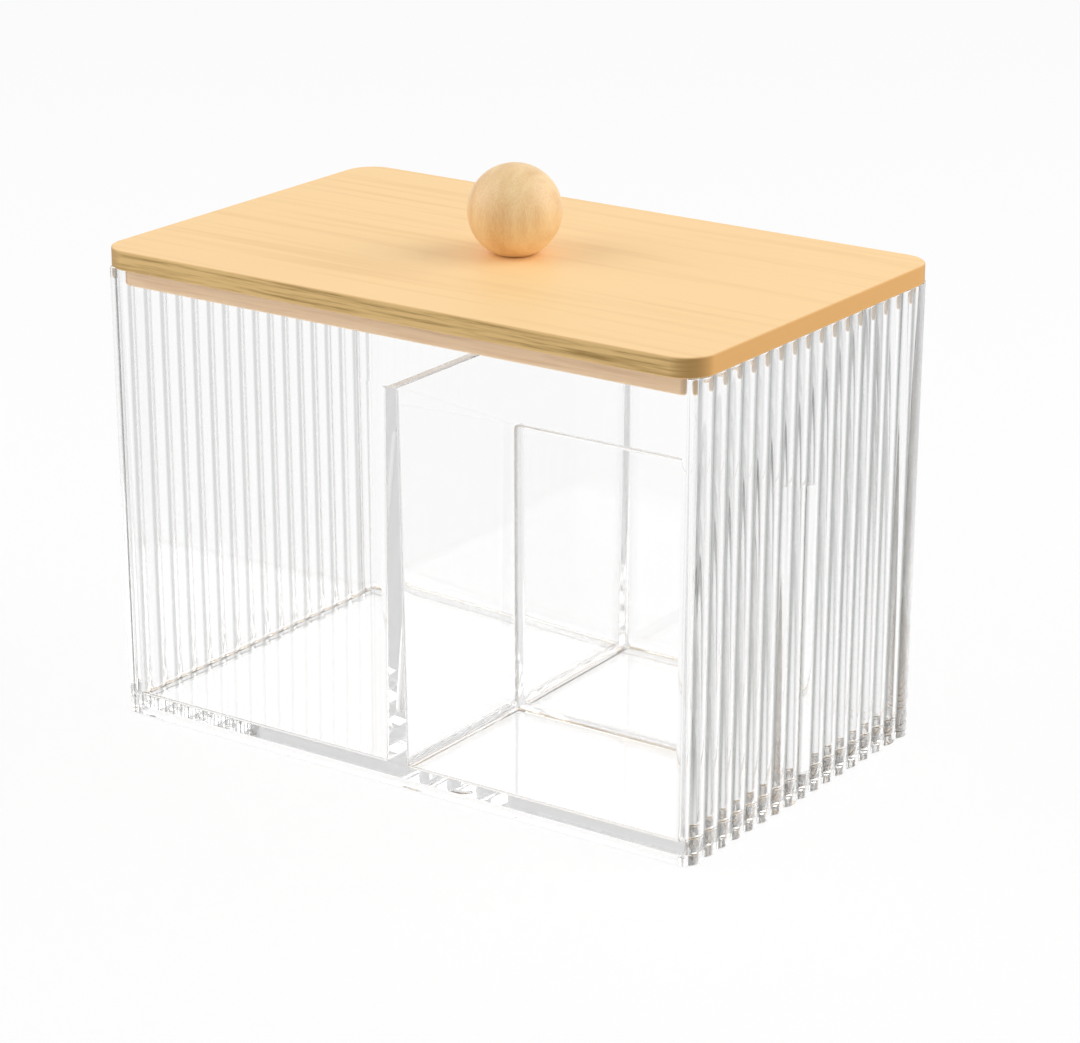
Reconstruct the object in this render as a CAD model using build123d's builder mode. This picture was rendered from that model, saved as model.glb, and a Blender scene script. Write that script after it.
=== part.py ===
"""Clear moulded box for cotton pads, with a bamboo lid that lifts off by a ball knob.

The frame has its origin at the centre of the face the box stands on, +X along the long side,
+Y from front to back and +Z up. Everything is in millimetres and degrees.
"""

from build123d import *

import os
from math import cos, radians, tan

os.makedirs("parts", exist_ok=True)

# Box, moulded in one piece of clear plastic
box_length = 180.0  # outside, at the rim, between the plain corner strips
box_depth = 110.0  # outside, at the rim
box_height = 124.0
wall_thickness = 2.2  # at the rim, where the walls are thinnest
floor_thickness = 3.0
outer_draft = 0.4  # each outer face leans out by this much towards the rim
inner_draft = 0.7  # the walls and dividers thicken downwards, to leave the core
outer_corner_radius = 1.0
inside_fillet = 1.5  # upright corners and floor edges, in every compartment

# Foot ring that the raised floor stands on, and the gate where the plastic came in
foot_height = 2.0
foot_width = 2.8
foot_inner_radius = 1.6  # corners of the recess
gate_dimple_radius = 5.0
gate_dimple_depth = 0.6
gate_stub_radius = 1.5
gate_stub_height = 0.4

# Rounded upright ribs on the two end walls
rib_count = 17
rib_pitch = 6.25
rib_depth = 1.45  # crest to valley, before the valleys are rounded
rib_valley_rise = 0.05  # the row's ends stay this far proud of the plain corner strips
valley_radius = 1.0

# Dividers: a long one from front to back, a short one from it to the right-hand end
long_divider_top = 106.5  # height above the ground
long_divider_thickness = 3.0  # at its top edge
short_divider_top = 83.5
short_divider_thickness = 1.8
divider_edge_radius = 0.7

# Lid: a board that overhangs the rim, and a smaller board that locates it inside
lid_overhang = 1.8
lid_thickness = 5.2
lid_corner_radius = 8.5
lid_edge_radius = 0.5  # round the top face
lid_under_chamfer = 0.3
locating_thickness = 5.0
locating_clearance = 0.7  # all round, to the walls at the rim
locating_corner_radius = 2.5
locating_edge_chamfer = 0.4

# Ball knob and the wood screw that holds it
ball_radius = 12.25
ball_flat_depth = 1.0  # turned flat where it sits on the lid
screw_radius = 1.75
screw_head_radius = 3.6
screw_head_sink = 0.3  # head below the face of the locating board
screw_head_angle = 90.0
screw_grip = 9.0  # length of screw in the ball
screw_point_length = 2.5
screw_board_clearance = 0.25
screw_ball_clearance = 0.05
screw_seat_clearance = 0.05
ball_hole_spare = 1.0  # depth of hole beyond the screw's point

# Sizes that follow from those above
upright = cos(radians(10))  # an edge that leans less than ten degrees counts as upright
outer_lean = tan(radians(outer_draft))
inner_lean = tan(radians(inner_draft))
foot_length = box_length - 2 * box_height * outer_lean
foot_depth = box_depth - 2 * box_height * outer_lean
floor_top = foot_height + floor_thickness
rim_plane = Plane.XY.offset(box_height)
pocket_height = box_height - floor_top
rim_inside_length = box_length - 2 * wall_thickness
rim_inside_depth = box_depth - 2 * wall_thickness
lid_top = box_height + lid_thickness
locating_bottom = box_height - locating_thickness
rib_crest = rib_depth + rib_valley_rise
rib_radius = ((rib_pitch / 2) ** 2 + rib_depth**2) / (2 * rib_depth)
rib_root = wall_thickness / 2
locating_length = rim_inside_length - 2 * locating_clearance
locating_depth = rim_inside_depth - 2 * locating_clearance
board_hole_radius = screw_radius + screw_board_clearance
ball_hole_radius = screw_radius + screw_ball_clearance
ball_hole_depth = screw_grip + ball_hole_spare
screw_head_height = (screw_head_radius - screw_radius) / tan(radians(screw_head_angle / 2))
ball_centre = lid_top + ball_radius - ball_flat_depth
screw_head_bottom = locating_bottom + screw_head_sink
screw_tip = lid_top + screw_grip


def is_upright(edge):
    """Tell whether an edge is straight and runs up the object."""
    return edge.geom_type == GeomType.LINE and abs(edge.tangent_at(0).Z) > upright


def divider_section(thickness, top):
    """Draw a divider's upright section on the floor: thicker downwards, with a rounded top edge."""
    height = top - floor_top
    with Locations((0, floor_top)):
        Trapezoid(
            thickness + 2 * height * inner_lean,
            height,
            90 - inner_draft,
            align=(Align.CENTER, Align.MIN),
        )
    fillet(vertices().group_by(Axis.Y)[-1], divider_edge_radius)


# Container: first the space inside it, with the dividers left standing in that space
with BuildPart() as pockets:
    with BuildSketch(Plane.XY.offset(floor_top)):
        Rectangle(rim_inside_length, rim_inside_depth)
    extrude(amount=pocket_height)
    draft(pockets.faces().filter_by(Axis.Z, reverse=True), rim_plane, -inner_draft)

    with BuildSketch(Plane.XZ):
        divider_section(long_divider_thickness, long_divider_top)
    extrude(amount=box_depth / 2, both=True, mode=Mode.SUBTRACT)

    with BuildSketch(Plane.YZ):
        divider_section(short_divider_thickness, short_divider_top)
    extrude(amount=box_length / 2, mode=Mode.SUBTRACT)

    fillet(pockets.edges().filter_by(is_upright) + pockets.edges().group_by(Axis.Z)[0], inside_fillet)

with BuildPart() as container:
    # Drafted outer block, wider at the rim than at the foot
    with BuildSketch(Plane.XY):
        Rectangle(box_length, box_depth)
    extrude(amount=box_height)
    draft(container.faces().filter_by(Axis.Z, reverse=True), rim_plane, -outer_draft)
    fillet(container.edges().filter_by(is_upright), outer_corner_radius)

    # Each rib is the part of a circle that stands out of the wall, and the row leans out with the wall
    with BuildSketch(Plane.XY) as rib_row:
        with Locations((foot_length / 2 + rib_crest - rib_radius, 0)):
            with GridLocations(rib_pitch, rib_pitch, 1, rib_count):
                Circle(rib_radius)
        with Locations((foot_length / 2 - rib_root, 0)):
            Rectangle(
                rib_root + rib_crest,
                rib_count * rib_pitch,
                align=(Align.MIN, Align.CENTER),
                mode=Mode.INTERSECT,
            )
        fillet(rib_row.vertices().group_by(Axis.X)[-1], valley_radius)
    ribs = extrude(amount=box_height / cos(radians(outer_draft)), dir=(outer_lean, 0, 1))
    mirror(ribs, about=Plane.YZ)

    # The space inside
    add(pockets.part, mode=Mode.SUBTRACT)

    # Underside: the floor is raised inside a foot ring, and the gate leaves a dimple with a stub
    with BuildSketch(Plane.XY):
        RectangleRounded(foot_length - 2 * foot_width, foot_depth - 2 * foot_width, foot_inner_radius)
    extrude(amount=foot_height, mode=Mode.SUBTRACT)
    with BuildSketch(Plane.XY.offset(foot_height)):
        Circle(gate_dimple_radius)
    extrude(amount=gate_dimple_depth, mode=Mode.SUBTRACT)
    with BuildSketch(Plane.XY.offset(foot_height + gate_dimple_depth)):
        Circle(gate_stub_radius)
    extrude(amount=-gate_stub_height)

container.part.label = "container"
export_step(container.part, "parts/container.step")

# Lid board, with the clearance hole for the knob screw
with BuildPart() as lid_board:
    with BuildSketch(Plane.XY.offset(box_height)):
        RectangleRounded(box_length + 2 * lid_overhang, box_depth + 2 * lid_overhang, lid_corner_radius)
        Circle(board_hole_radius, mode=Mode.SUBTRACT)
    extrude(amount=lid_thickness)
    chamfer(lid_board.faces().sort_by(Axis.Z)[0].outer_wire().edges(), lid_under_chamfer)
    fillet(lid_board.faces().sort_by(Axis.Z)[-1].outer_wire().edges(), lid_edge_radius)

lid_board.part.label = "lid_board"
export_step(lid_board.part, "parts/lid_board.step")

# Locating board, glued under the lid board, with the screw's countersink in its lower face
with BuildPart() as locating_board:
    with BuildSketch(Plane.XY.offset(locating_bottom)):
        RectangleRounded(locating_length, locating_depth, locating_corner_radius)
    extrude(amount=locating_thickness)
    chamfer(locating_board.faces().sort_by(Axis.Z)[0].outer_wire().edges(), locating_edge_chamfer)
    with Locations(Plane(origin=(0, 0, screw_head_bottom), z_dir=(0, 0, -1))):
        CounterSinkHole(
            board_hole_radius,
            screw_head_radius + screw_seat_clearance,
            counter_sink_angle=screw_head_angle,
        )

locating_board.part.label = "locating_board"
export_step(locating_board.part, "parts/locating_board.step")

# Ball knob: a turned ball with a flat to sit on and a blind hole for the screw
with BuildPart() as knob_ball:
    with BuildSketch(Plane.XZ):
        with Locations((0, ball_centre)):
            Circle(ball_radius)
        with Locations((0, lid_top)):
            Rectangle(ball_radius, 2 * ball_radius, align=(Align.MIN, Align.MIN), mode=Mode.INTERSECT)
        with Locations((0, lid_top)):
            Rectangle(ball_hole_radius, ball_hole_depth, align=(Align.MIN, Align.MIN), mode=Mode.SUBTRACT)
    revolve(axis=Axis.Z)

knob_ball.part.label = "knob_ball"
export_step(knob_ball.part, "parts/knob_ball.step")

# Countersunk wood screw, head down, through both boards into the ball
with BuildPart() as knob_screw:
    with BuildSketch(Plane.XZ):
        with BuildLine():
            Polyline(
                (0, screw_head_bottom),
                (screw_head_radius, screw_head_bottom),
                (screw_radius, screw_head_bottom + screw_head_height),
                (screw_radius, screw_tip - screw_point_length),
                (0, screw_tip),
                close=True,
            )
        make_face()
    revolve(axis=Axis.Z)

knob_screw.part.label = "knob_screw"
export_step(knob_screw.part, "parts/knob_screw.step")
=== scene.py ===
"""Looks for a clear moulded box for cotton pads, with a bamboo lid that lifts off by a ball knob.

Every length is in metres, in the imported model's frame: the origin lies under the middle of the box,
+X runs along the long side, +Y from front to back and +Z up.
"""

from math import cos, pi, radians, sin, tan

import bmesh
import bpy
import numpy as np
from bpy.props import FloatProperty, FloatVectorProperty, IntProperty, PointerProperty
from bpy.types import Operator, Panel, PropertyGroup
from mathutils import Matrix, Vector


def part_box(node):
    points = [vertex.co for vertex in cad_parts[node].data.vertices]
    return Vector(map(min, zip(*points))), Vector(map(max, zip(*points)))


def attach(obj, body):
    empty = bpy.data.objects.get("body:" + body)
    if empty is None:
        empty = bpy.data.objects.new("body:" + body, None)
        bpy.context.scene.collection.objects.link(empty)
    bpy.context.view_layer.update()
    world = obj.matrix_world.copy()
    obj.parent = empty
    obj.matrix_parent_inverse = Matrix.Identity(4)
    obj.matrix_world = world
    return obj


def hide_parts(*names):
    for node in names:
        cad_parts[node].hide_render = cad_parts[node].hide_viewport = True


bl_info = {
    "name": "Clear pad box with bamboo lid",
    "version": (1, 0, 0),
    "blender": (4, 5, 0),
    "location": "3D View > Sidebar > Pad Box",
    "description": "Builds a clear ribbed box, its bamboo lid with a ball knob, and a studio",
    "category": "Object",
}

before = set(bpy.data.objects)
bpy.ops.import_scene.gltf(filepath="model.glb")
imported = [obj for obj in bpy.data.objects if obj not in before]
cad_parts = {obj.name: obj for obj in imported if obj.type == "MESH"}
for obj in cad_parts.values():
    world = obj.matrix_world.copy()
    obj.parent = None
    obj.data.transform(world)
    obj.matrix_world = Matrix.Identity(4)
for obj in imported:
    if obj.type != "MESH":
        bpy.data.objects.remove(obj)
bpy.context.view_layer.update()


def to_linear(colour):
    """Turn an sRGB hex colour into the linear red, green, blue and alpha that shaders take."""
    srgb = np.array([int(colour[i : i + 2], 16) / 255 for i in (1, 3, 5)])
    linear = np.where(srgb <= 0.04045, srgb / 12.92, ((srgb + 0.055) / 1.055) ** 2.4)
    return (*linear.tolist(), 1.0)


# Settings


def length_setting(name, description, default):
    """Declare a length in metres."""
    return FloatProperty(name=name, description=description, unit="LENGTH", default=default)


def angle_setting(name, description, degrees):
    """Declare an angle, whose default is given in degrees."""
    return FloatProperty(
        name=name, description=description, unit="ROTATION", default=radians(degrees)
    )


def colour_setting(name, description, default):
    """Declare a colour, whose default is given in sRGB hex."""
    return FloatVectorProperty(
        name=name,
        description=description,
        subtype="COLOR",
        size=4,
        min=0,
        max=1,
        default=to_linear(default),
    )


class BoxSettings(PropertyGroup):
    plastic_colour: colour_setting("Plastic", "Tint of the clear plastic's surface", "#FFFFFF")
    depth_colour: colour_setting(
        "Depth", "Tint that the plastic takes over a long way through it", "#E7E7E7"
    )
    depth_density: FloatProperty(
        name="Depth density", description="How soon the plastic takes that tint", default=16.0
    )
    # Painted shade: this grey is put into the clear plastic between the ribs, where the valleys show
    # dark lines
    valley_painted_shade: colour_setting(
        "Valley shade", "Grey painted into the clear plastic between two ribs as shade", "#ABADAB"
    )
    wall: length_setting("Wall", "Thickness of the outer walls at the rim", 0.0022)
    floor: length_setting("Floor", "Thickness of the floor", 0.003)
    outer_draft: angle_setting(
        "Outer draft", "Angle by which the outside leans out towards the rim", 0.4
    )
    inner_draft: angle_setting(
        "Inner draft", "Angle by which walls and dividers thicken downwards", 0.7
    )
    outer_corner: length_setting("Outer corners", "Radius of the upright outer corners", 0.001)
    inside_fillet: length_setting(
        "Inside fillets", "Radius of the inside corners and floor edges", 0.0015
    )
    rim_edge: length_setting("Rim edges", "Rounding of the rim, inside and outside", 0.0005)
    foot_edge: length_setting("Foot edge", "Rounding of the lowest outer edge", 0.0003)
    foot_height: length_setting(
        "Foot height", "How far the foot ring holds the floor off the ground", 0.002
    )
    foot_width: length_setting("Foot width", "Width of the foot ring", 0.0028)
    foot_corner: length_setting(
        "Foot corners", "Radius of the corners inside the foot ring", 0.0016
    )
    gate_radius: length_setting("Gate radius", "Radius of the dimple under the floor", 0.005)
    gate_depth: length_setting("Gate depth", "Depth of the dimple under the floor", 0.0006)
    stub_radius: length_setting("Stub radius", "Radius of the gate's stub in the dimple", 0.0015)
    stub_height: length_setting("Stub height", "Height of the gate's stub", 0.0004)
    rib_count: IntProperty(
        name="Ribs", description="Number of upright ribs on each end wall", default=17
    )
    rib_pitch: length_setting("Rib pitch", "Distance from rib to rib", 0.00625)
    rib_depth: length_setting(
        "Rib depth", "Height of a rib above the line where it meets the next", 0.00145
    )
    rib_rise: length_setting(
        "Rib rise", "How far that line stands out of the plain wall", 0.00005
    )
    valley_radius: length_setting("Valley radius", "Rounding between two ribs", 0.001)
    long_top: length_setting(
        "Long divider height", "Height of the long divider above the ground", 0.1065
    )
    long_thickness: length_setting(
        "Long divider thickness", "Thickness of the long divider at its top", 0.003
    )
    short_top: length_setting(
        "Short divider height", "Height of the short divider above the ground", 0.0835
    )
    short_thickness: length_setting(
        "Short divider thickness", "Thickness of the short divider at its top", 0.0018
    )
    divider_edge: length_setting(
        "Divider edges", "Rounding of the dividers at their top", 0.0007
    )


class LidSettings(PropertyGroup):
    corner_radius: length_setting(
        "Corner radius", "Radius of the lid board's corners, seen from above", 0.0085
    )
    edge_radius: length_setting("Edge radius", "Rounding of the lid board's top edge", 0.0005)
    under_chamfer: length_setting(
        "Lower chamfer", "Chamfer round the lid board's lower edge", 0.0003
    )
    locating_corner_radius: length_setting(
        "Locating corner radius", "Radius of the locating board's corners", 0.0025
    )
    locating_edge: length_setting(
        "Locating edge", "Rounding of the locating board's top edge", 0.0001
    )
    locating_chamfer: length_setting(
        "Locating chamfer", "Chamfer round the locating board's lower edge", 0.0004
    )
    screw_hole_radius: length_setting(
        "Screw hole radius", "Radius of the clearance hole through both boards", 0.002
    )
    screw_seat_play: length_setting(
        "Screw seat play", "Play between the screw's head and its seat", 0.00005
    )
    light_bamboo: colour_setting(
        "Light bamboo", "Colour of the pale strips on the lid's top", "#FFD99F"
    )
    dark_bamboo: colour_setting(
        "Dark bamboo", "Colour of the darker fibres on the lid's top", "#F6CC91"
    )
    long_edge: colour_setting(
        "Long edge", "Colour of the long sawn edges, where the plies show", "#E0BC7E"
    )
    long_edge_dark: colour_setting(
        "Long edge lines", "Colour of the glue lines and dark fibres there", "#9F7E44"
    )
    short_edge: colour_setting("Short edge", "Colour of the lid board's sawn ends", "#DAA560")
    # Partly end grain, partly painted shade: the routed corners are darker than the edges beside them
    corner_grain_and_shade: colour_setting("Corners", "Colour of the routed corners: their end grain and painted shade", "#A07A42")
    lower_edge: colour_setting(
        "Lower board edge", "Colour of the locating board's long edges", "#D6B68D"
    )
    lower_edge_dark: colour_setting(
        "Lower board lines", "Colour of the lines on the locating board's long edges", "#C49E71"
    )
    lower_short_edge: colour_setting(
        "Lower board ends", "Colour of the locating board's sawn ends", "#CDBBA6"
    )


class KnobSettings(PropertyGroup):
    beech: colour_setting("Beech", "Colour of the turned ball", "#FBDCA8")
    beech_dark: colour_setting(
        "Beech grain", "Colour of the ball's growth lines and flecks", "#E4B880"
    )
    zinc: colour_setting("Zinc", "Colour of the screw's plating", "#C9CBCC")
    hole_radius: length_setting("Hole radius", "Radius of the blind hole in the ball", 0.0018)
    hole_depth: length_setting("Hole depth", "Depth of the blind hole in the ball", 0.01)
    shank_radius: length_setting("Shank radius", "Radius of the screw's shank", 0.00175)
    point_length: length_setting("Point length", "Length of the screw's point", 0.0025)
    plain_length: length_setting(
        "Plain length", "Length of the screw between its head and its thread", 0.004
    )
    thread_pitch: length_setting(
        "Thread pitch", "Distance between the turns of the screw's thread", 0.0016
    )
    thread_depth: length_setting(
        "Thread depth", "Height of the screw's thread above its core", 0.00045
    )
    cross_width: length_setting(
        "Cross width", "Half the width of an arm of the screw's cross recess", 0.00055
    )
    cross_reach: length_setting(
        "Cross reach", "How far the cross recess reaches from its middle", 0.0021
    )
    cross_depth: length_setting("Cross depth", "Depth of the cross recess", 0.0016)


class StageSettings(PropertyGroup):
    yaw: angle_setting(
        "Camera yaw", "Angle of the camera round the object from straight in front, to +X", 35.038
    )
    pitch: angle_setting("Camera pitch", "Angle of the camera above the horizon", 18.852)
    distance: length_setting(
        "Camera distance", "Distance from the camera to the point that it is turned about", 0.985367
    )
    pan_right: length_setting(
        "Pan right", "How far the camera stands to its own right of that point", 0.006443
    )
    pan_up: length_setting(
        "Pan up", "How far the camera stands above that point, along its own upright", 0.053361
    )
    lens: FloatProperty(
        name="Lens",
        description="Focal length on a 36 mm wide sensor",
        unit="CAMERA",
        default=122.647,
    )
    floor_radius: length_setting("Floor radius", "Radius of the round floor", 6.0)
    floor_drop: length_setting("Floor drop", "How far the floor lies under the foot ring", 0.0002)
    floor_colour: colour_setting("Floor", "Colour of the matt floor", "#F4F4F4")
    lamp_size: length_setting("Light size", "Width and height of both soft lights", 1.0)
    lamp_distance: length_setting(
        "Light distance", "Distance of both soft lights from a point 0.1 m over the ground", 1.1
    )
    key_power: FloatProperty(
        name="Right light",
        description="Power of the soft light on the right of the camera's view",
        unit="POWER",
        default=7.6,
    )
    fill_power: FloatProperty(
        name="Left light",
        description="Power of the soft light on the left of the camera's view",
        unit="POWER",
        default=5.6,
    )
    sky_strength: FloatProperty(
        name="Surroundings",
        description="Strength of the light from the white surroundings",
        default=0.5,
    )


# Outlines and rings of points


def rounded_rectangle(low_x, high_x, low_y, high_y, radius, corner_steps, side_steps):
    """Return a rectangle with round corners, anticlockwise from the start of its front left corner.

    Each corner is a quarter circle about a centre one radius inside both sides, and each side is
    divided evenly between its arcs. One corner and the side after it are one block of points.
    """
    turn = np.linspace(0, pi / 2, corner_steps + 1)
    step = np.linspace(0, 1, side_steps + 1)[1:-1, None]
    centres = [
        (low_x + radius, low_y + radius),
        (high_x - radius, low_y + radius),
        (high_x - radius, high_y - radius),
        (low_x + radius, high_y - radius),
    ]
    corners = [
        np.array(centre) + radius * np.stack([np.cos(turn + angle), np.sin(turn + angle)], 1)
        for centre, angle in zip(centres, (pi, 1.5 * pi, 0, 0.5 * pi))
    ]
    parts = []
    for corner, following in zip(corners, corners[1:] + corners[:1]):
        parts += [corner, corner[-1] + (following[0] - corner[-1]) * step]
    return np.concatenate(parts)


def board_outline(high, radius, corner_steps, side_steps):
    """Return a function that gives a board's outline, moved in by a distance."""

    def outline_at(inset):
        x, y = high.x - inset, high.y - inset
        return rounded_rectangle(-x, x, -y, y, radius - inset, corner_steps, side_steps)

    return outline_at


def quarter_round(radius, steps):
    """Return how far each point of a quarter-round edge lies from its first and its second side.

    They are the radius times one less the cosine and one less the sine of an angle from 0 to 90
    degrees.
    """
    turn = np.linspace(0, pi / 2, steps + 1)
    return list(zip(radius * (1 - np.cos(turn)), radius * (1 - np.sin(turn))))


def at_height(outline, height):
    """Lift a flat outline to a height."""
    return np.column_stack([outline, np.full(len(outline), height)])


def circle_like(outline, radius):
    """Return a circle's points at the same angles about the middle as the outline's points."""
    angle = np.arctan2(outline[:, 1], outline[:, 0])
    return radius * np.stack([np.cos(angle), np.sin(angle)], 1)


def turned(radius, height, around):
    """Return rings about the upright axis: the radius times the angle's cosine and sine."""
    x, y = radius * np.cos(around), radius * np.sin(around)
    return np.stack(np.broadcast_arrays(x, y, height), -1)


def rib_row(count, pitch, depth, rise, valley, arc_steps=14, valley_steps=8, end_steps=3):
    """Return how far along the wall and how far out of it each point of the row of ribs lies.

    Each rib is an arc that stands the depth above the points where it meets the next, and each
    valley is an arc of its own radius that touches the ribs on both sides.
    """
    half = pitch / 2
    radius = (half**2 + depth**2) / (2 * depth)
    base = depth + rise - radius
    reach = np.sqrt((radius + valley) ** 2 - half**2)
    lean = np.arcsin(half / (radius + valley))
    centre = (np.arange(count) - (count - 1) / 2)[:, None] * pitch
    turn = np.linspace(-lean, lean, arc_steps + 1)
    dip = np.linspace(-lean, lean, valley_steps + 1)[1:-1]
    along = np.hstack([centre + radius * np.sin(turn), centre + half + valley * np.sin(dip)])
    out = np.hstack(
        [
            np.tile(base + radius * np.cos(turn), (count, 1)),
            np.tile(base + reach - valley * np.cos(dip), (count, 1)),
        ]
    )
    # The last rib has no valley after it: the arcs at both ends run down to the rise
    along, out = along.ravel()[: 1 - valley_steps], out.ravel()[: 1 - valley_steps]
    last = np.linspace(lean, np.arcsin(half / radius), end_steps + 1)[1:]
    end_along = centre[-1] + radius * np.sin(last)
    end_out = base + radius * np.cos(last)
    edge = count * half + rise
    along = np.concatenate([[-edge], -end_along[::-1], along, end_along, [edge]])
    out = np.concatenate([[0], end_out[::-1], out, end_out, [0]])
    return along, out


def moved_in(outline, distance):
    """Move each point of a closed anticlockwise outline inwards, square to its neighbours' line."""
    ahead = np.roll(outline, -1, axis=0) - np.roll(outline, 1, axis=0)
    normal = np.stack([ahead[:, 1], -ahead[:, 0]], 1)
    return outline - distance * normal / np.linalg.norm(normal, axis=1, keepdims=True)


def walked(loop):
    """Return the share of a closed loop's length walked at each point and back at the first."""
    closed = np.vstack([loop, loop[:1]])[:, :2]
    length = np.concatenate([[0], np.cumsum(np.linalg.norm(np.diff(closed, axis=0), axis=1))])
    return length / length[-1]


def ridge(left, right, radius, settle, steps=6):
    """Return the lines of points over a divider's top edge, between the lines along its two sides.

    Across the divider they rise in a quarter circle, run level, and fall in another. settle puts
    the first and the last row exactly on the walls they meet.
    """
    across = right - left
    across = across / np.linalg.norm(across, axis=1, keepdims=True)
    arc = [(inset, (0, 0, radius - drop)) for inset, drop in quarter_round(radius, steps)]
    rows = [left + across * inset + rise for inset, rise in arc]
    rows += [right - across * inset + rise for inset, rise in arc[::-1]]
    lines = np.stack(rows, 1)
    lines[0] = settle(lines[0])
    lines[-1] = settle(lines[-1])
    return lines


# Sheets of points and faces, and pieces made of them


def sheet_between(lines):
    """Return the points and four-sided faces of a grid whose rows are the given lines."""
    lines = np.asarray(lines, float)
    rows, columns = lines.shape[:2]
    index = np.arange(rows * columns).reshape(rows, columns)
    faces = np.stack([index[:-1, :-1], index[:-1, 1:], index[1:, 1:], index[1:, :-1]], -1)
    return lines.reshape(-1, 3), faces.reshape(-1, 4)


def tube_between(rings):
    """Return the points and faces of a grid whose rows are closed rings."""
    rings = np.asarray(rings, float)
    return sheet_between(np.concatenate([rings, rings[:, :1]], axis=1))


def fan(ring):
    """Return the points and faces that close a ring with one point in its middle."""
    count = len(ring)
    index = np.arange(count)
    faces = np.stack([index, np.roll(index, -1), np.full(count, count)], 1)
    return np.vstack([ring, ring.mean(0)]), faces


def zipped(first, second, first_walk=None):
    """Return the points and triangles that join two closed loops of different lengths.

    Both loops are walked together by the share of their length. Each point adds one triangle, with
    the point before it on its own loop and the last point passed on the other.
    """
    count, other = len(first), len(second)
    first_walk = walked(first) if first_walk is None else first_walk
    order = np.argsort(np.concatenate([first_walk[1:], walked(second)[1:]]), kind="stable")
    on_first = order < count
    done = np.cumsum(on_first) - on_first
    passed = np.cumsum(~on_first) - ~on_first
    ahead = np.where(on_first, (done + 1) % count, count + (passed + 1) % other)
    faces = np.stack([done % count, ahead, count + passed % other], 1)
    return np.vstack([first, second]), faces


def joined_mesh(name, sheets):
    """Make one mesh from sheets of points and faces that meet in the same points."""
    same_point, no_length = 0.000002, 0.0000005
    starts = np.cumsum([0] + [len(points) for points, _ in sheets])
    faces = [face for (_, group), start in zip(sheets, starts) for face in (group + start).tolist()]
    mesh = bpy.data.meshes.new(name)
    mesh.from_pydata(np.concatenate([points for points, _ in sheets]).tolist(), [], faces)
    model = bmesh.new()
    model.from_mesh(mesh)
    bmesh.ops.remove_doubles(model, verts=model.verts[:], dist=same_point)
    bmesh.ops.dissolve_degenerate(model, edges=model.edges[:], dist=no_length)
    bmesh.ops.recalc_face_normals(model, faces=model.faces[:])
    model.to_mesh(mesh)
    model.free()
    return mesh


def add_object(name, data):
    """Add an object to the scene at the origin."""
    thing = bpy.data.objects.new(name, data)
    bpy.context.scene.collection.objects.link(thing)
    return thing


def add_piece(name, sheets, material, body, node):
    """Make a piece from closed sheets, in its node's place and smooth but for its sharp edges."""
    sharp_turn = radians(35)
    mesh = joined_mesh(name, sheets)
    mesh.materials.append(material)
    mesh.shade_smooth()
    mesh.set_sharp_from_angle(angle=sharp_turn)
    piece = add_object(name, mesh)
    weighted = piece.modifiers.new("Flat faces stay flat", "WEIGHTED_NORMAL")
    weighted.keep_sharp = True
    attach(piece, body)
    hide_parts(node)


# Materials


def add_node(tree, kind, inputs=None, **settings):
    """Add a node with its settings, and give each named input a value or another node's output.

    A node that stands in place of an output gives the first one that its settings leave it.
    """
    node = tree.nodes.new(kind)
    for name, value in settings.items():
        setattr(node, name, value)
    for name, value in (inputs or {}).items():
        if isinstance(value, bpy.types.Node):
            value = next(output for output in value.outputs if output.enabled)
        if isinstance(value, bpy.types.NodeSocket):
            tree.links.new(value, node.inputs[name])
        else:
            node.inputs[name].default_value = value
    return node


def new_material(name):
    """Make a material with an empty node tree and an output."""
    material = bpy.data.materials.new(name)
    material.use_nodes = True
    tree = material.node_tree
    tree.nodes.clear()
    return material, tree, tree.nodes.new("ShaderNodeOutputMaterial")


def moulded_polystyrene(box, wall_x):
    """Clear polystyrene from a polished mould: glass-like, with painted grey shade in the ribs'
    valleys.

    The plastic swallows a little light over a long way through it, so rims, feet and edges look
    grey. wall_x is how far out the plain end walls stand at the foot.
    """
    material, tree, output = new_material("clear polystyrene, moulded")
    place = add_node(tree, "ShaderNodeTexCoord")
    part = add_node(tree, "ShaderNodeSeparateXYZ", {"Vector": place.outputs["Object"]})
    # How far out the surface stands, less the lean of the wall
    far = add_node(tree, "ShaderNodeMath", {0: part.outputs["X"]}, operation="ABSOLUTE")
    out = add_node(
        tree,
        "ShaderNodeMath",
        {0: part.outputs["Z"], 1: -tan(box.outer_draft), 2: far},
        operation="MULTIPLY_ADD",
    )
    # The painted valley shade is full up to 0.6 mm out of the plain wall, and gone at 1.1 mm and on
    # the wall itself
    low = add_node(
        tree,
        "ShaderNodeMapRange",
        {"Value": out, "From Min": wall_x + 0.0011, "From Max": wall_x + 0.0006},
        interpolation_type="SMOOTHSTEP",
    )
    ribbed = add_node(
        tree, "ShaderNodeMath", {0: out, 1: wall_x + 0.0002}, operation="GREATER_THAN"
    )
    share = add_node(tree, "ShaderNodeMath", {0: low, 1: ribbed}, operation="MULTIPLY")
    # Painted shade: between the ribs the clear plastic takes the valley grey instead of its own white
    tint_and_valley_shade = add_node(
        tree,
        "ShaderNodeMix",
        {"Factor": share, "A": box.plastic_colour, "B": box.valley_painted_shade},
        data_type="RGBA",
    )
    shader = add_node(
        tree,
        "ShaderNodeBsdfPrincipled",
        {"Base Color": tint_and_valley_shade, "Roughness": 0.02, "IOR": 1.59, "Transmission Weight": 1.0},
    )
    depth = add_node(
        tree,
        "ShaderNodeVolumeAbsorption",
        {"Color": box.depth_colour, "Density": box.depth_density},
    )
    tree.links.new(shader.outputs[0], output.inputs["Surface"])
    tree.links.new(depth.outputs[0], output.inputs["Volume"])
    return material


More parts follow.
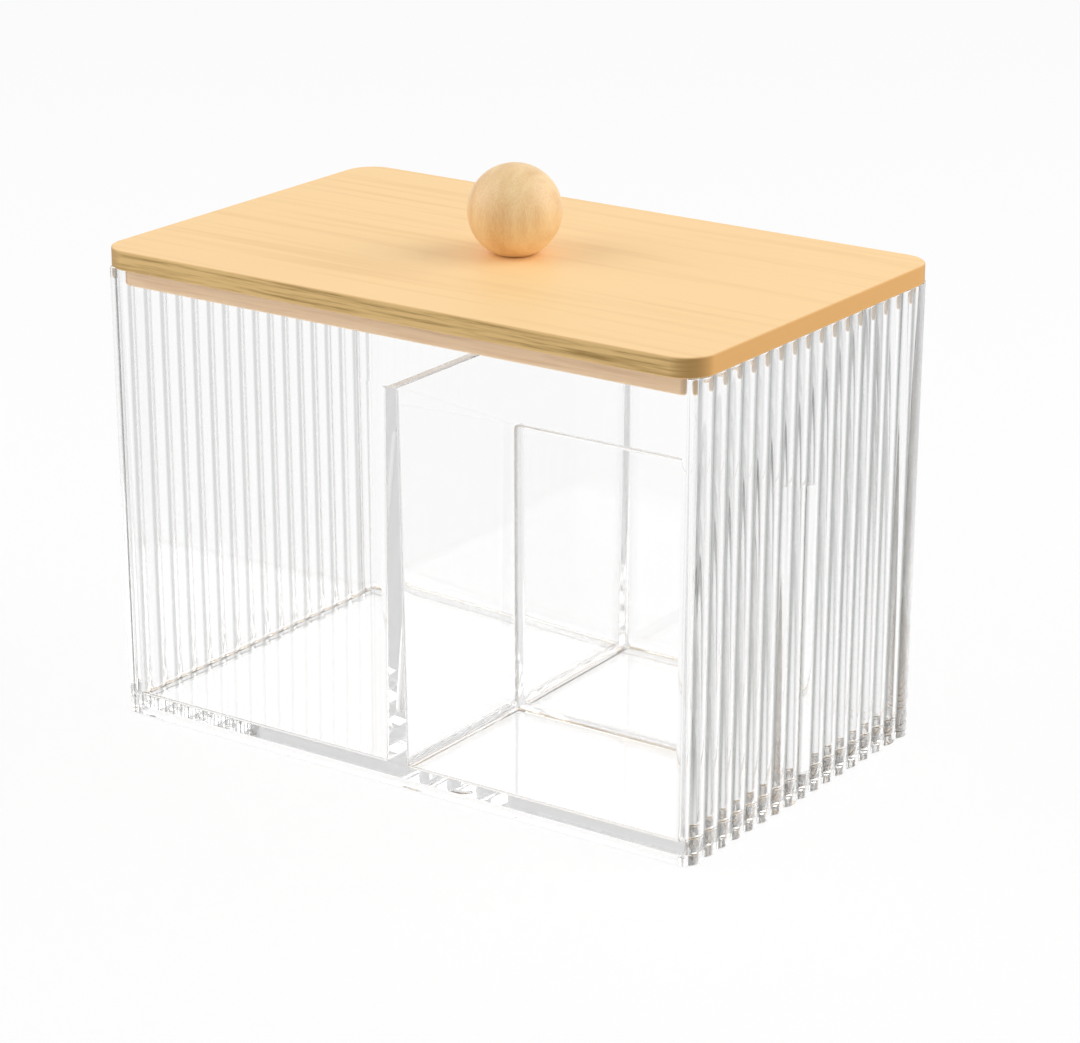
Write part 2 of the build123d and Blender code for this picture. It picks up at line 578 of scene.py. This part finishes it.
def laminated_bamboo(lid, name, long_edge, long_edge_dark, short_edge):
    """Laminated bamboo, planed and sanded under a matt lacquer: pale, with fine fibres along X.

    The long edges show the plies as dark broken lines, the sawn ends are smoother and more orange,
    and the routed corners between them are darker: partly end grain, partly painted shade.
    """
    material, tree, output = new_material(name)
    place = add_node(tree, "ShaderNodeTexCoord")
    patterns = []
    for scale, detail, roughness in (
        ((200.0, 2000.0, 2000.0), 2.0, 0.6),  # pores 0.5 mm wide and 5 mm long
        ((12.0, 330.0, 330.0), 2.0, 0.5),  # darker fibre bundles 3 mm wide and 80 mm long
        ((40.0, 40.0, 1300.0), 3.0, 0.65),  # plies 0.8 mm apart, broken up along their length
    ):
        stretched = add_node(
            tree, "ShaderNodeMapping", {"Vector": place.outputs["Object"], "Scale": scale}
        )
        pattern = add_node(
            tree,
            "ShaderNodeTexNoise",
            {"Vector": stretched, "Scale": 1.0, "Detail": detail, "Roughness": roughness},
        )
        patterns.append(pattern)
    pores, bundles, plies = patterns

    # Top: the bundles lie here and there between the pores
    bundle_share = add_node(
        tree, "ShaderNodeMapRange", {"Value": bundles, "From Min": 0.5, "From Max": 0.85}
    )
    fibres = add_node(
        tree, "ShaderNodeMath", {0: pores, 1: 0.35, 2: bundle_share}, operation="MULTIPLY_ADD"
    )
    top = add_node(
        tree,
        "ShaderNodeMix",
        {"Factor": fibres, "A": lid.light_bamboo, "B": lid.dark_bamboo},
        data_type="RGBA",
    )

    # Edges: each side takes its colour from the way that it faces
    ply_share = add_node(
        tree, "ShaderNodeMapRange", {"Value": plies, "From Min": 0.45, "From Max": 0.72}
    )
    long_sides = add_node(
        tree,
        "ShaderNodeMix",
        {"Factor": ply_share, "A": long_edge, "B": long_edge_dark},
        data_type="RGBA",
    )
    facing = add_node(tree, "ShaderNodeSeparateXYZ", {"Vector": place.outputs["Normal"]})
    y_share, z_share, corner = (
        add_node(
            tree,
            "ShaderNodeMath",
            {0: facing.outputs[first], 1: facing.outputs[second]},
            operation="MULTIPLY",
        )
        for first, second in ("YY", "ZZ", "XY")
    )
    sides = add_node(
        tree,
        "ShaderNodeMix",
        {"Factor": y_share, "A": short_edge, "B": long_sides},
        data_type="RGBA",
    )
    # Painted shade and end grain: the routed corners take a darker colour. A corner's normal has both
    # level parts, whose product is at most a half
    corner = add_node(tree, "ShaderNodeMath", {0: corner}, operation="ABSOLUTE")
    corner_grain_and_shade_share = add_node(
        tree,
        "ShaderNodeMapRange",
        {"Value": corner, "From Min": 0.1, "From Max": 0.5, "To Max": 0.75},
    )
    edges = add_node(
        tree,
        "ShaderNodeMix",
        {"Factor": corner_grain_and_shade_share, "A": sides, "B": lid.corner_grain_and_shade},
        data_type="RGBA",
    )

    wood = add_node(
        tree, "ShaderNodeMix", {"Factor": z_share, "A": edges, "B": top}, data_type="RGBA"
    )
    bump = add_node(
        tree, "ShaderNodeBump", {"Height": pores, "Distance": 0.00003, "Strength": 0.4}
    )
    shader = add_node(
        tree,
        "ShaderNodeBsdfPrincipled",
        {
            "Base Color": wood,
            "Roughness": 0.5,
            "IOR": 1.5,
            "Specular IOR Level": 0.3,
            "Normal": bump,
        },
    )
    tree.links.new(shader.outputs[0], output.inputs["Surface"])
    return material


def turned_beech(knob):
    """Turned and sanded beech under a matt lacquer: pale, with slow bands and short dark flecks."""
    material, tree, output = new_material("beech, turned and lacquered")
    place = add_node(tree, "ShaderNodeTexCoord")
    patterns = []
    for scale, detail in (
        ((220.0, 90.0, 25.0), 2.0),  # growth bands about 4 mm apart, upright along the ball's axis
        ((3000.0, 3000.0, 450.0), 1.0),  # flecks 0.3 mm wide and 2 mm long
    ):
        stretched = add_node(
            tree, "ShaderNodeMapping", {"Vector": place.outputs["Object"], "Scale": scale}
        )
        pattern = add_node(
            tree, "ShaderNodeTexNoise", {"Vector": stretched, "Scale": 1.0, "Detail": detail}
        )
        patterns.append(pattern)
    bands, flecks = patterns
    tone = add_node(
        tree, "ShaderNodeMath", {0: flecks, 1: 0.35, 2: bands}, operation="MULTIPLY_ADD"
    )
    share = add_node(tree, "ShaderNodeMapRange", {"Value": tone, "From Min": 0.5, "From Max": 0.9})
    wood = add_node(
        tree,
        "ShaderNodeMix",
        {"Factor": share, "A": knob.beech, "B": knob.beech_dark},
        data_type="RGBA",
    )
    shader = add_node(
        tree, "ShaderNodeBsdfPrincipled", {"Base Color": wood, "Roughness": 0.38, "IOR": 1.5}
    )
    tree.links.new(shader.outputs[0], output.inputs["Surface"])
    return material


def plated_steel(knob):
    """Zinc-plated steel, cold headed and thread rolled: bright, with a slightly cloudy shine."""
    material, tree, output = new_material("zinc-plated steel, rolled")
    place = add_node(tree, "ShaderNodeTexCoord")
    # Clouds about 1 mm across
    cloud = add_node(
        tree,
        "ShaderNodeTexNoise",
        {"Vector": place.outputs["Object"], "Scale": 900.0, "Detail": 2.0},
    )
    rough = add_node(tree, "ShaderNodeMapRange", {"Value": cloud, "To Min": 0.25, "To Max": 0.45})
    shader = add_node(
        tree,
        "ShaderNodeBsdfPrincipled",
        {"Base Color": knob.zinc, "Metallic": 1.0, "Roughness": rough},
    )
    tree.links.new(shader.outputs[0], output.inputs["Surface"])
    return material


def seen_share(tree):
    """Return 1 for rays from the camera and from shiny and clear surfaces, and 0 for others."""
    path = add_node(tree, "ShaderNodeLightPath")
    share = path.outputs["Is Camera Ray"]
    for kind in ("Is Glossy Ray", "Is Transmission Ray"):
        share = add_node(
            tree, "ShaderNodeMath", {0: share, 1: path.outputs[kind]}, operation="MAXIMUM"
        )
    return share


def matt_board(stage):
    """Matt white painted board that looks white itself and still shows a little of a shadow."""
    material, tree, output = new_material("painted board, matt white")
    share = add_node(tree, "ShaderNodeMath", {0: seen_share(tree), 1: 0.9}, operation="MULTIPLY")
    matt = add_node(tree, "ShaderNodeBsdfDiffuse", {"Color": stage.floor_colour})
    glow = add_node(tree, "ShaderNodeEmission", {"Color": (1, 1, 1, 1), "Strength": 1.0})
    mixed = add_node(tree, "ShaderNodeMixShader", {0: share, 1: matt, 2: glow})
    tree.links.new(mixed.outputs[0], output.inputs["Surface"])
    return material


# Pieces


class BoxForm:
    """The container's outlines at each height, from its settings and its CAD solid's size."""

    corner_steps = 8
    side_steps = 14
    block = corner_steps + side_steps  # points in a compartment's corner and the side after it
    outer_corner_steps = 6
    outer_side_steps = 40
    least_radius = 0.00005
    seam_height = 0.001  # from a divider's top to where the walls over it run plain again

    def __init__(self, box, high):
        self.box = box
        self.top = high.z
        self.outer_x = high.x - box.rib_depth - box.rib_rise
        self.outer_y = high.y
        self.lean_in = tan(box.inner_draft)
        self.lean_out = tan(box.outer_draft)
        self.rib_along, self.rib_out = rib_row(
            box.rib_count, box.rib_pitch, box.rib_depth, box.rib_rise, box.valley_radius
        )
        # How far aside from the wall, and how high, each ring of the rounded rim lies
        self.rim = [
            (aside, self.top - drop) for aside, drop in quarter_round(box.rim_edge, steps=6)
        ]

    def outer_half(self, z):
        """Half the length and depth of the outside at a height, without the ribs."""
        loss = (self.top - z) * self.lean_out
        return self.outer_x - loss, self.outer_y - loss

    def inner_half(self, z):
        """Half the length and depth of the inside at a height."""
        loss = self.box.wall + (self.top - z) * self.lean_in
        return self.outer_x - loss, self.outer_y - loss

    def long_half(self, z):
        """Half the thickness of the long divider at a height."""
        return self.box.long_thickness / 2 + (self.box.long_top - z) * self.lean_in

    def short_half(self, z):
        """Half the thickness of the short divider at a height."""
        return self.box.short_thickness / 2 + (self.box.short_top - z) * self.lean_in

    def pocket(self, name, z, inset=0.0):
        """Return the outline of a compartment, or of the space above some, at a height."""
        x, y = self.inner_half(z)
        low_x = -x if name in ("left", "all") else self.long_half(z)
        high_x = -self.long_half(z) if name == "left" else x
        low_y = self.short_half(z) if name == "rear" else -y
        high_y = -self.short_half(z) if name == "front" else y
        outline = rounded_rectangle(
            low_x + inset,
            high_x - inset,
            low_y + inset,
            high_y - inset,
            max(self.box.inside_fillet - inset, self.least_radius),
            self.corner_steps,
            self.side_steps,
        )
        return at_height(outline, z)

    def compartment(self, name, side_top):
        """Return a compartment's sheets up to the side of its divider, and its outline there.

        It has a flat floor, a quarter-round fillet along the floor's edge, and leaning walls.
        """
        floor = self.box.foot_height + self.box.floor
        fillet = quarter_round(self.box.inside_fillet, steps=8)
        rings = [self.pocket(name, floor + rise, inset) for rise, inset in fillet]
        rings.append(self.pocket(name, side_top))
        return [fan(rings[0]), tube_between(rings)], rings[-1]

    def inside_sheets(self):
        """Return the sheets of the whole inside with both dividers, and the rim's inner outline."""
        box, block, corner = self.box, self.block, self.corner_steps
        long_side = box.long_top - box.divider_edge
        short_side = box.short_top - box.divider_edge
        left_sheets, left = self.compartment("left", long_side)
        front_sheets, front = self.compartment("front", short_side)
        rear_sheets, rear = self.compartment("rear", short_side)

        # The short divider's top edge, and the space over the two small compartments
        def on_short_ends(row):
            on_end_wall = row[:, 0] > self.outer_x / 2
            wall = np.where(on_end_wall, self.inner_half(row[:, 2])[0], self.long_half(row[:, 2]))
            return np.column_stack([wall, row[:, 1:]])

        front_side = front[2 * block : 3 * block + corner + 1][::-1]
        rear_side = rear[: block + corner + 1]
        crown = ridge(front_side, rear_side, box.divider_edge, on_short_ends)
        seam = np.concatenate(
            [
                front[: 2 * block],
                crown[-1],
                rear[block + corner + 1 :],
                crown[0][::-1],
                front[3 * block + corner + 1 :],
            ]
        )
        base = self.pocket("right", box.short_top + self.seam_height)
        right = self.pocket("right", long_side)
        sheets = left_sheets + front_sheets + rear_sheets
        sheets += [sheet_between(crown), zipped(seam, base), tube_between([base, right])]

        # The long divider's top edge, and the space over everything up to the rim
        def on_long_ends(row):
            wall = np.sign(row[:, 1]) * self.inner_half(row[:, 2])[1]
            return np.column_stack([row[:, 0], wall, row[:, 2]])

        left_side = left[block : 2 * block + corner + 1]
        right_side = np.concatenate([right[: corner + 1][::-1], right[3 * block :][::-1]])
        crown = ridge(left_side, right_side, box.divider_edge, on_long_ends)
        seam = np.concatenate(
            [
                left[:block],
                crown[0],
                right[corner + 1 : 3 * block],
                crown[-1][::-1],
                left[2 * block + corner + 1 :],
            ]
        )
        rings = [self.pocket("all", box.long_top + self.seam_height)]
        rings += [self.pocket("all", height, -aside) for aside, height in self.rim]
        sheets += [sheet_between(crown), zipped(seam, rings[0]), tube_between(rings)]
        return sheets, rings[-1]

    def outside(self, z, inset=0.0, rib_share=1.0):
        """Return the outer outline at a height, with its ribs in full or flattened to a share."""
        x, y = self.outer_half(z)
        radius = self.box.outer_corner
        plain = rounded_rectangle(-x, x, -y, y, radius, self.outer_corner_steps, 2)
        corners = [block[:-1] for block in np.split(plain, 4)]
        step = np.linspace(-1, 1, self.outer_side_steps + 1)[1:-1]
        front = np.column_stack([step * (x - radius), np.full(len(step), -y)])
        end = np.column_stack([x + rib_share * self.rib_out, self.rib_along])
        outline = [corners[0], front, corners[1], end, corners[2], -front, corners[3], -end]
        return at_height(moved_in(np.concatenate(outline), inset), z)

    def outside_sheets(self, inner_rim):
        """Return the sheets of the outside and the rim, and the outline that meets the ground."""
        sole = quarter_round(self.box.foot_edge, steps=5)
        rings = [self.outside(rise, inset) for rise, inset in sole]
        rings += [self.outside(height, aside) for aside, height in self.rim]
        plain_walk = walked(self.outside(self.top, rib_share=0.0))
        return [tube_between(rings), zipped(rings[-1], inner_rim, plain_walk)], rings[0]

    def underside_sheets(self, sole):
        """Return the sheets of the foot ring, the raised floor, and the gate's dimple and stub."""
        box = self.box
        x, y = (half - box.foot_width for half in self.outer_half(0))
        recess = rounded_rectangle(
            -x, x, -y, y, box.foot_corner, self.corner_steps, self.side_steps
        )
        gate = circle_like(recess, box.gate_radius)
        stub = circle_like(recess, box.stub_radius)
        dimple = box.foot_height + box.gate_depth
        rings = [
            at_height(recess, 0),
            at_height(recess, box.foot_height),
            at_height(gate, box.foot_height),
            at_height(gate, dimple),
            at_height(stub, dimple),
            at_height(stub, dimple - box.stub_height),
        ]
        plain_walk = walked(self.outside(0, rib_share=0.0))
        return [zipped(sole, rings[0], plain_walk), tube_between(rings), fan(rings[-1])]


class PADBOX_OT_container(Operator):
    """Mould the ribbed container with its foot, floor and dividers as one closed surface"""

    bl_idname = "padbox.container"
    bl_label = "Container"

    def execute(self, context):
        box = context.scene.padbox_box
        form = BoxForm(box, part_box("container")[1])
        inside, inner_rim = form.inside_sheets()
        outside, sole = form.outside_sheets(inner_rim)
        sheets = inside + outside + form.underside_sheets(sole)
        material = moulded_polystyrene(box, form.outer_half(0)[0])
        add_piece("clear_box", sheets, material, "box", "container")
        return {"FINISHED"}


def board_rings(outline_at, hole, low, high, edge_radius, under_chamfer, edge_steps):
    """Return the looped rings of a board with a hole: up the outside, over the top, down the hole.

    outline_at gives the outline moved in by a distance. The top edge is a quarter circle of the
    edge radius, and the lower edge is cut at 45 degrees.
    """
    hole = circle_like(outline_at(0), hole)
    rings = [
        at_height(hole, low),
        at_height(outline_at(under_chamfer), low),
        at_height(outline_at(0), low + under_chamfer),
    ]
    top_edge = quarter_round(edge_radius, edge_steps)
    rings += [at_height(outline_at(inset), high - drop) for inset, drop in top_edge]
    rings.append(at_height(hole, high))
    return rings


class PADBOX_OT_lid_board(Operator):
    """Make the bamboo lid board with round corners and a softened top edge"""

    bl_idname = "padbox.lid_board"
    bl_label = "Lid board"

    def execute(self, context):
        lid = context.scene.padbox_lid
        low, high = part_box("lid_board")
        outline_at = board_outline(high, lid.corner_radius, 16, 24)
        rings = board_rings(
            outline_at, lid.screw_hole_radius, low.z, high.z, lid.edge_radius, lid.under_chamfer, 8
        )
        sheets = [tube_between(rings + rings[:1])]
        material = laminated_bamboo(
            lid,
            "bamboo, laminated and sanded",
            lid.long_edge,
            lid.long_edge_dark,
            lid.short_edge,
        )
        add_piece("bamboo_lid_board", sheets, material, "lid", "lid_board")
        return {"FINISHED"}


class PADBOX_OT_locating_board(Operator):
    """Make the smaller bamboo board that drops inside the rim, with the screw's countersink"""

    bl_idname = "padbox.locating_board"
    bl_label = "Locating board"

    def execute(self, context):
        lid = context.scene.padbox_lid
        low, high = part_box("locating_board")
        head_low, head_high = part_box("knob_screw")
        outline_at = board_outline(high, lid.locating_corner_radius, 10, 24)
        hole = lid.screw_hole_radius
        rings = board_rings(
            outline_at, hole, low.z, high.z, lid.locating_edge, lid.locating_chamfer, 2
        )
        # The countersink: upright as far as the screw's head is sunk, then a cone of 45 degrees
        sink = head_high.x + lid.screw_seat_play
        wide = circle_like(outline_at(0), sink)
        narrow = circle_like(outline_at(0), hole)
        rings[0] = at_height(wide, low.z)
        cone = [at_height(narrow, head_low.z + sink - hole), at_height(wide, head_low.z)]
        sheets = [tube_between(cone + rings + cone[:1])]
        material = laminated_bamboo(
            lid,
            "bamboo, laminated, lower board",
            lid.lower_edge,
            lid.lower_edge_dark,
            lid.lower_short_edge,
        )
        add_piece("bamboo_locating_board", sheets, material, "lid", "locating_board")
        return {"FINISHED"}


class PADBOX_OT_knob(Operator):
    """Turn the beech ball with its flat and blind hole"""

    bl_idname = "padbox.knob"
    bl_label = "Ball knob"

    def execute(self, context):
        knob = context.scene.padbox_knob
        low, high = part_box("knob_ball")
        radius = high.x
        centre = high.z - radius
        flat = radius * sin(np.arccos((centre - low.z) / radius))
        # The flat ends 0.2 mm inside the sphere's cut, and the sphere starts 0.02 radians above it
        softened, turned_up = 0.0002, 0.02
        rings_up, points_round = 72, 128
        angle = np.linspace(turned_up - np.arccos(flat / radius), pi / 2, rings_up + 1)[:-1]
        profile = np.concatenate(
            [
                [
                    (knob.hole_radius, low.z + knob.hole_depth),
                    (knob.hole_radius, low.z),
                    (flat - softened, low.z),
                ],
                np.stack([radius * np.cos(angle), centre + radius * np.sin(angle)], 1),
            ]
        )
        around = np.linspace(0, 2 * pi, points_round, endpoint=False)
        rings = turned(profile[:, :1], profile[:, 1:], around)
        sheets = [fan(rings[0]), tube_between(rings), fan(rings[-1])]
        add_piece("beech_ball", sheets, turned_beech(knob), "lid", "knob_ball")
        return {"FINISHED"}


class PADBOX_OT_screw(Operator):
    """Make the countersunk wood screw with its cross recess and rolled thread"""

    bl_idname = "padbox.screw"
    bl_label = "Screw"

    def execute(self, context):
        knob = context.scene.padbox_knob
        low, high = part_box("knob_screw")
        head, shank = high.x, knob.shank_radius
        head_edge = 0.0001  # upright edge round the head
        tip, least = 0.0001, 0.00005  # radius that the core runs down to, and the least drawn
        face_rings, body_rings, points_round = 24, 110, 64
        around = np.linspace(0, 2 * pi, points_round, endpoint=False)

        # Head face: a flat disc whose depth grows inside a cross of two tapering arms
        def arm(across, along):
            width = np.clip(1 - np.abs(across) / knob.cross_width, 0, 1)
            return width * np.clip(1 - np.abs(along) / knob.cross_reach, 0, 1)

        spread = head * np.linspace(0.04, 1, face_rings)[:, None]
        x, y = spread * np.cos(around), spread * np.sin(around)
        cross = np.maximum(arm(x, y), arm(y, x))
        face = turned(spread, low.z + knob.cross_depth * np.sqrt(cross), around)

        # Cone, plain neck, and a thread that winds round as a triangular ridge
        wide, neck = low.z + head_edge, low.z + head - shank
        start = neck + knob.plain_length
        height = np.linspace(start, high.z - least, body_rings)
        height = np.concatenate([[wide, neck], height])
        core = np.interp(
            height,
            [wide, neck, high.z - knob.point_length, high.z],
            [head, shank, shank, tip],
        )
        turns = (height - start) / knob.thread_pitch
        crest = np.abs(((turns[:, None] - around / (2 * pi)) % 1) * 2 - 1) ** 1.5
        depth = knob.thread_depth * np.clip(turns, 0, 1) * np.clip(core / shank, 0, 1)
        radius = np.maximum(core[:, None] - depth[:, None] * (1 - crest), least)
        body = turned(radius, height[:, None], around)

        rings = np.concatenate([face, body])
        sheets = [fan(rings[0]), tube_between(rings), fan(rings[-1])]
        add_piece("knob_wood_screw", sheets, plated_steel(knob), "lid", "knob_screw")
        return {"FINISHED"}


class PADBOX_OT_stage(Operator):
    """Lay the pale floor, set the white surroundings and the soft light, and place the camera"""

    bl_idname = "padbox.stage"
    bl_label = "Stage"

    def execute(self, context):
        stage = context.scene.padbox_stage
        scene = context.scene

        # Floor: a round sheet just under the foot ring
        points_round = 96
        around = np.linspace(0, 2 * pi, points_round, endpoint=False)
        spread = stage.floor_radius * np.array([[0.05], [0.3], [1.0]])
        rings = turned(spread, -stage.floor_drop, around)
        mesh = joined_mesh("studio_floor", [fan(rings[0]), tube_between(rings)])
        mesh.materials.append(matt_board(stage))
        add_object("studio_floor", mesh)

        # Surroundings: white where they are seen, and softer as light
        world = bpy.data.worlds.new("white studio")
        world.use_nodes = True
        tree = world.node_tree
        tree.nodes.clear()
        strength = add_node(
            tree, "ShaderNodeMapRange", {"Value": seen_share(tree), "To Min": stage.sky_strength}
        )
        sky = add_node(
            tree, "ShaderNodeBackground", {"Color": (1, 1, 1, 1), "Strength": strength}
        )
        add_node(tree, "ShaderNodeOutputWorld", {"Surface": sky})
        scene.world = world

        # The way from the object to the camera, and the camera's own right and up
        level = cos(stage.pitch)
        back = Vector((sin(stage.yaw) * level, -cos(stage.yaw) * level, sin(stage.pitch)))
        right = Vector((cos(stage.yaw), sin(stage.yaw), 0))
        up = back.cross(right)

        # Two soft lights, 33 degrees up on the right and on the left of the view
        rise, middle = Vector((0, 0, 0.65)), Vector((0, 0, 0.1))
        for name, side, power in (
            ("right_softbox", right, stage.key_power),
            ("left_softbox", -right, stage.fill_power),
        ):
            lamp = bpy.data.lights.new(name, "AREA")
            lamp.size = stage.lamp_size
            lamp.energy = power
            light = add_object(name, lamp)
            towards = (side + rise).normalized()
            light.location = towards * stage.lamp_distance + middle
            light.rotation_mode = "QUATERNION"
            light.rotation_quaternion = towards.to_track_quat("Z", "Y")

        data = bpy.data.cameras.new("photo_camera")
        data.sensor_width = 36
        data.lens = stage.lens
        data.clip_start = 0.05
        data.clip_end = 50
        camera = add_object("photo_camera", data)
        camera.rotation_mode = "QUATERNION"
        camera.rotation_quaternion = Matrix((right, up, back)).transposed().to_quaternion()
        camera.location = back * stage.distance + right * stage.pan_right + up * stage.pan_up
        scene.camera = camera
        scene.view_settings.view_transform = "Standard"

        # Light in the ribs and walls is turned and thrown back many times on its way
        bounces = 128
        scene.cycles.max_bounces = bounces
        scene.cycles.transmission_bounces = bounces
        scene.cycles.glossy_bounces = bounces
        # Light for the wood behind the clear walls goes through them unblurred
        scene.cycles.blur_glossy = 0
        return {"FINISHED"}


class PADBOX_PT_panel(Panel):
    bl_label = "Pad Box"
    bl_idname = "PADBOX_PT_panel"
    bl_space_type = "VIEW_3D"
    bl_region_type = "UI"
    bl_category = "Pad Box"

    def draw(self, context):
        layout = self.layout
        for operator in OPERATORS:
            layout.operator(operator.bl_idname)
        for scene_name in SETTINGS:
            settings = getattr(context.scene, scene_name)
            group = layout.box()
            for name in settings.__annotations__:
                group.prop(settings, name)


SETTINGS = {
    "padbox_box": BoxSettings,
    "padbox_lid": LidSettings,
    "padbox_knob": KnobSettings,
    "padbox_stage": StageSettings,
}
OPERATORS = (
    PADBOX_OT_container,
    PADBOX_OT_lid_board,
    PADBOX_OT_locating_board,
    PADBOX_OT_knob,
    PADBOX_OT_screw,
    PADBOX_OT_stage,
)


def register():
    for name, group in SETTINGS.items():
        bpy.utils.register_class(group)
        setattr(bpy.types.Scene, name, PointerProperty(type=group))
    for operator in OPERATORS:
        bpy.utils.register_class(operator)
    bpy.utils.register_class(PADBOX_PT_panel)


def unregister():
    bpy.utils.unregister_class(PADBOX_PT_panel)
    for operator in reversed(OPERATORS):
        bpy.utils.unregister_class(operator)
    for name, group in reversed(SETTINGS.items()):
        delattr(bpy.types.Scene, name)
        bpy.utils.unregister_class(group)


def main():
    register()
    for operator in OPERATORS:
        group, name = operator.bl_idname.split(".")
        getattr(getattr(bpy.ops, group), name)()


if __name__ == "__main__":
    main()
